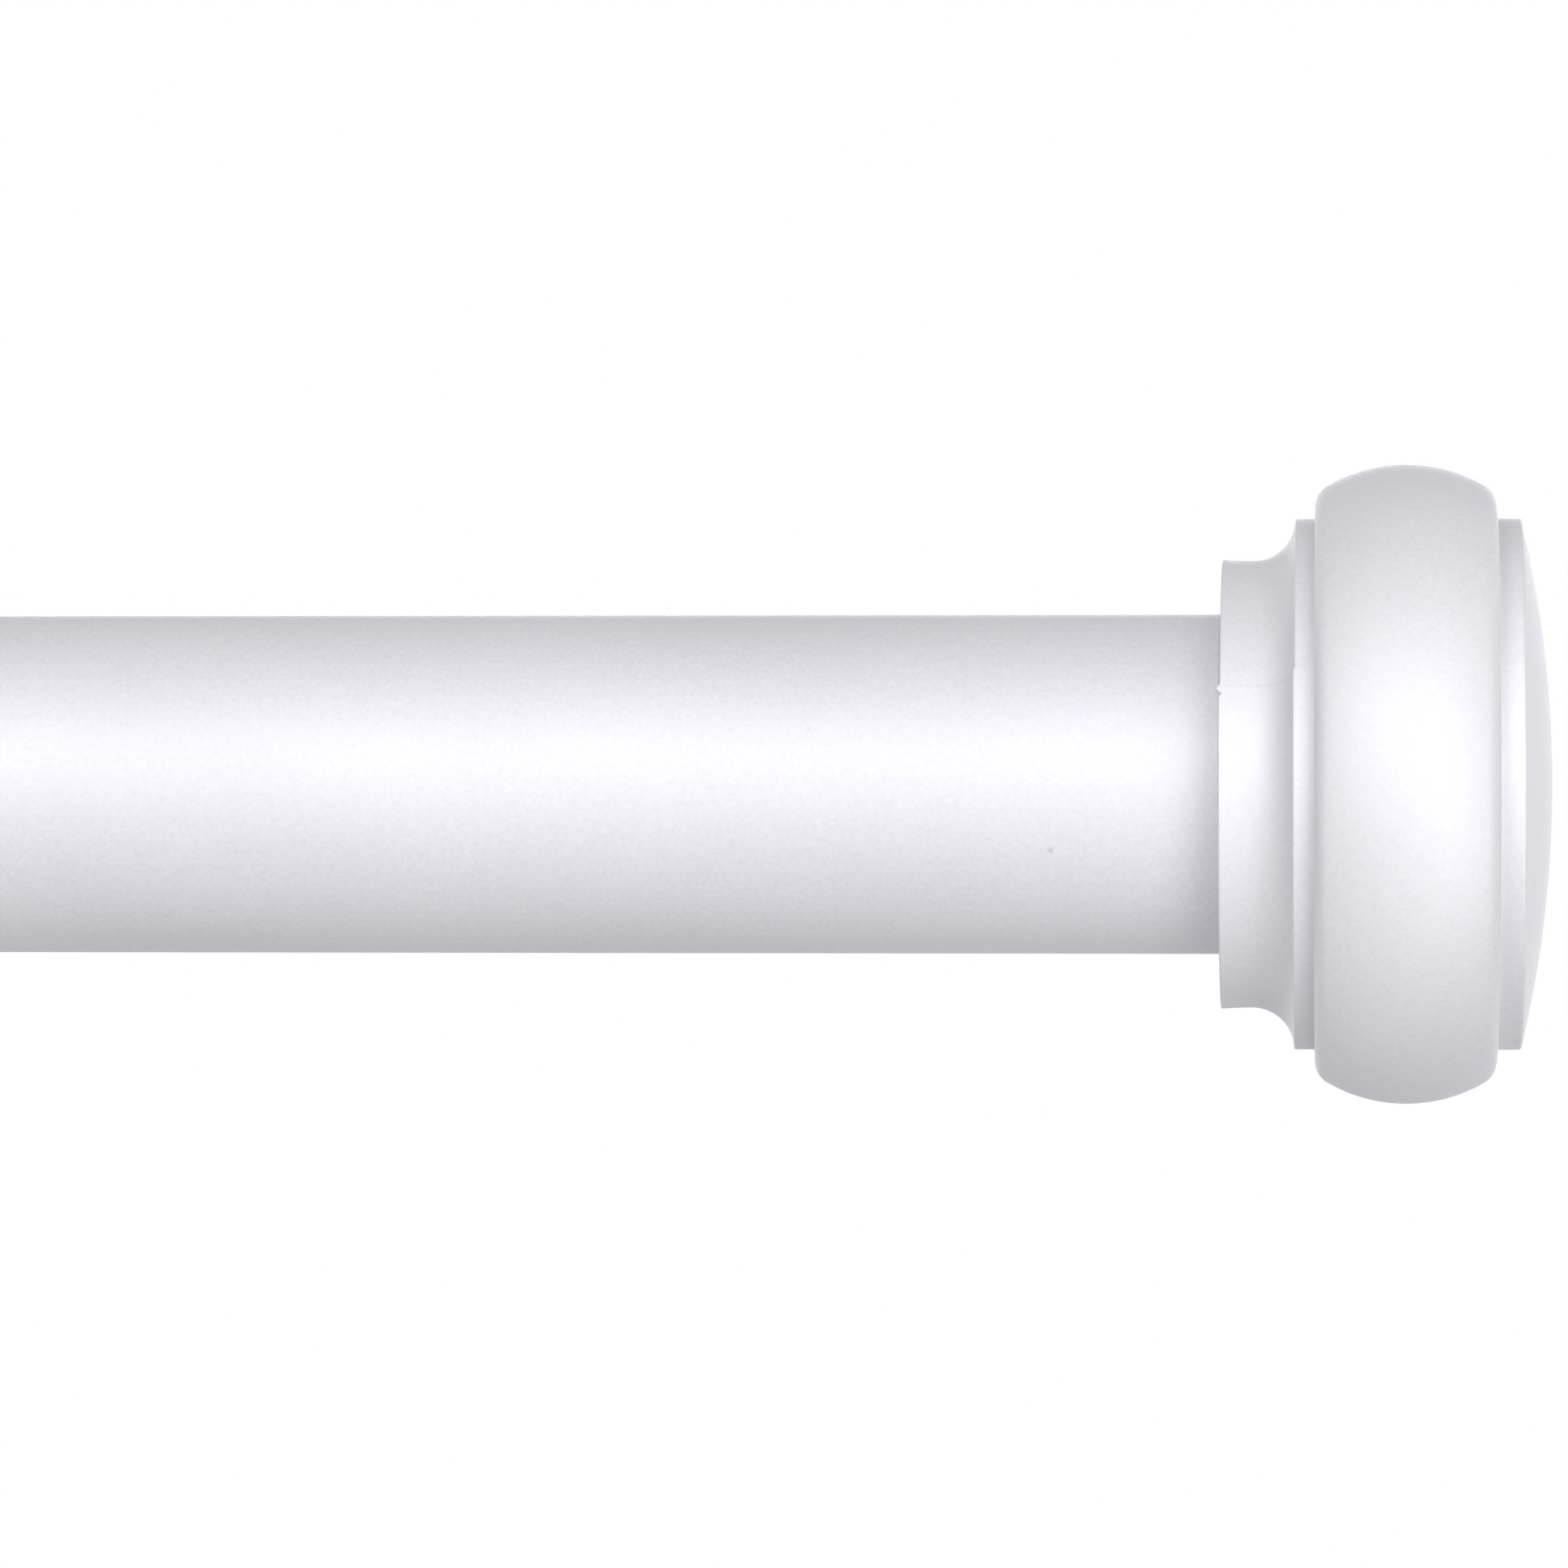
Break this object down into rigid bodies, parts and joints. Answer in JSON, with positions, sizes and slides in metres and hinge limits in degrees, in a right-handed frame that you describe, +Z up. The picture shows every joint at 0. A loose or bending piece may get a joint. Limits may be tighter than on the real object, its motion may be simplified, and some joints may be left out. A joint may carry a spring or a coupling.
{
  "type": "curtain rod",
  "caption": "Telescoping round curtain rod with a beaded, domed finial pushed into each end; the inner tube slides in the outer tube to set the length.",
  "frame": {"origin": "middle of the outer tube, on the rod's axis", "axes": "+X along the rod towards the outer tube's finial, the end in the picture; +Z up as the rod hangs level; the window side is +Y"},
  "size_m": [0.8906, 0.0478, 0.0477],
  "materials": {
    "tube_paint": "satin",
    "finial_paint": "satin",
    "bush_plastic": "matte"
  },
  "bodies": {
    "outer": {"outer_tube": "tube_paint", "mouth_bush": "bush_plastic"},
    "inner": {"inner_tube": "tube_paint", "glide_plug": "bush_plastic"},
    "right_cap": {"right_finial": "finial_paint"},
    "left_cap": {"left_finial": "finial_paint"}
  },
  "joints": [
    {"name": "tube_slide", "type": "slide", "parent": "outer", "child": "inner", "axis": [-1, 0, 0], "range_m": [-0.13, 0.378]},
    {"name": "right_finial_pull", "type": "slide", "parent": "outer", "child": "right_cap", "axis": [1, 0, 0], "range_m": [0, 0.04]},
    {"name": "left_finial_pull", "type": "slide", "parent": "inner", "child": "left_cap", "axis": [-1, 0, 0], "range_m": [0, 0.04]}
  ]
}
